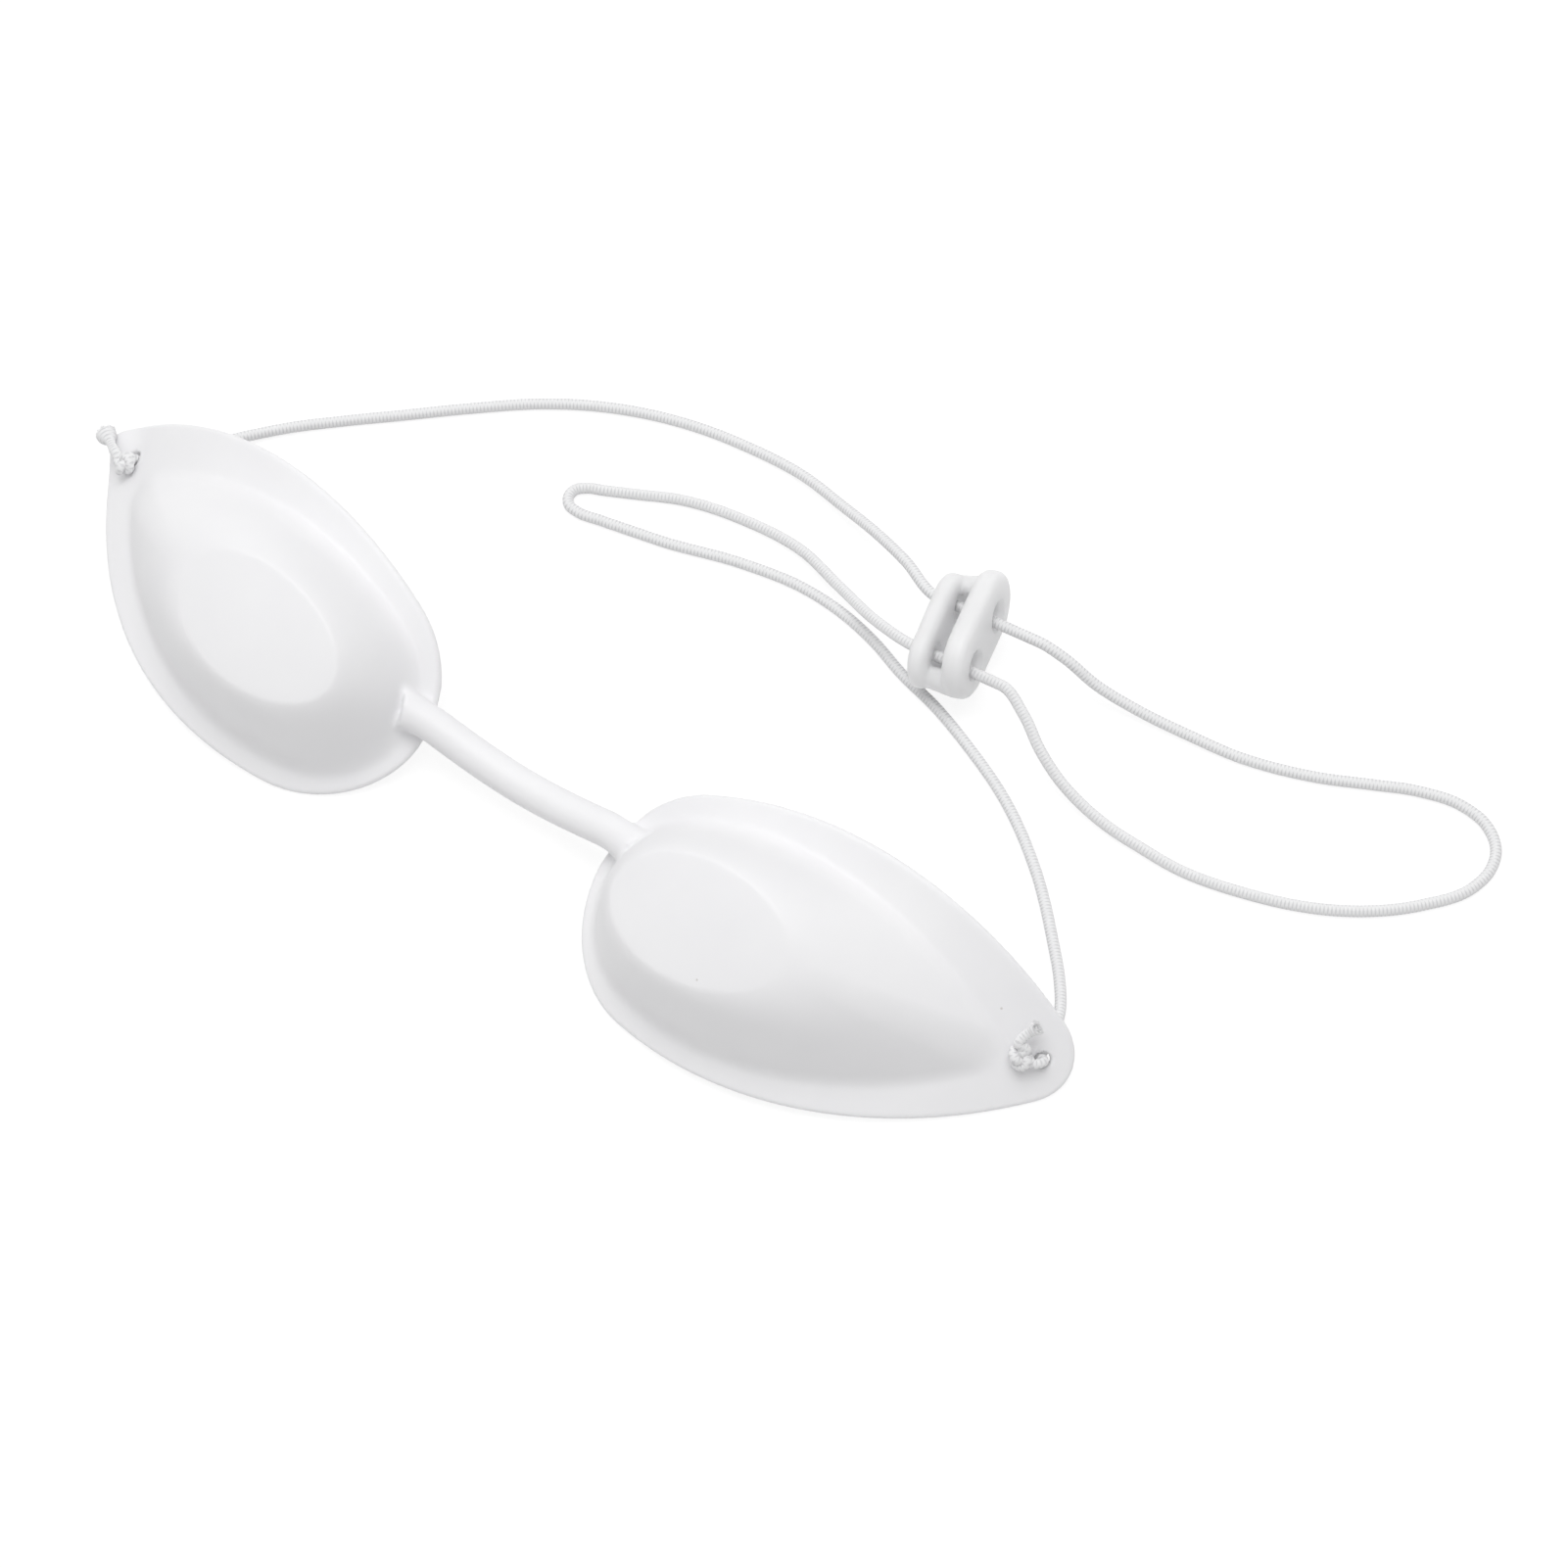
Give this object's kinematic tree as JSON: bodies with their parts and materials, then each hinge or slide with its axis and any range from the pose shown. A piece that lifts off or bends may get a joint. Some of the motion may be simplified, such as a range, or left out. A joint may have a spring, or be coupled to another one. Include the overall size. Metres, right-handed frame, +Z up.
{
  "type": "opaque eye shield with elastic head cord",
  "caption": "Opaque moulded eye shield for light treatments: teardrop domed cups on a flexible nose bridge, with an elastic head cord knotted at the temples and a sliding cord lock.",
  "frame": {"origin": "on the table under the middle of the shield, at the centre of the bottom of its box", "axes": "+X towards the cup drawn on the right, +Y towards the brow side and the lock, +Z up from the table"},
  "size_m": [0.1991, 0.0969, 0.0262],
  "materials": {
    "shield_plastic": "satin moulded white",
    "cord": "fine white braid",
    "lock_plastic": "smooth white"
  },
  "bodies": {
    "eye_shield": {"left_eye_cup": "shield_plastic", "right_eye_cup": "shield_plastic", "nose_bridge": "shield_plastic", "left_cord": "cord", "adjusting_loop": "cord", "right_cord": "cord", "left_knot": "cord", "right_knot": "cord"},
    "cord_lock": {"cord_lock": "lock_plastic"}
  },
  "joints": [
    {"name": "lock_slide", "type": "slide", "parent": "eye_shield", "child": "cord_lock", "axis": [0.9912, 0.1217, 0.0523], "range_m": [0, 0.004]}
  ]
}
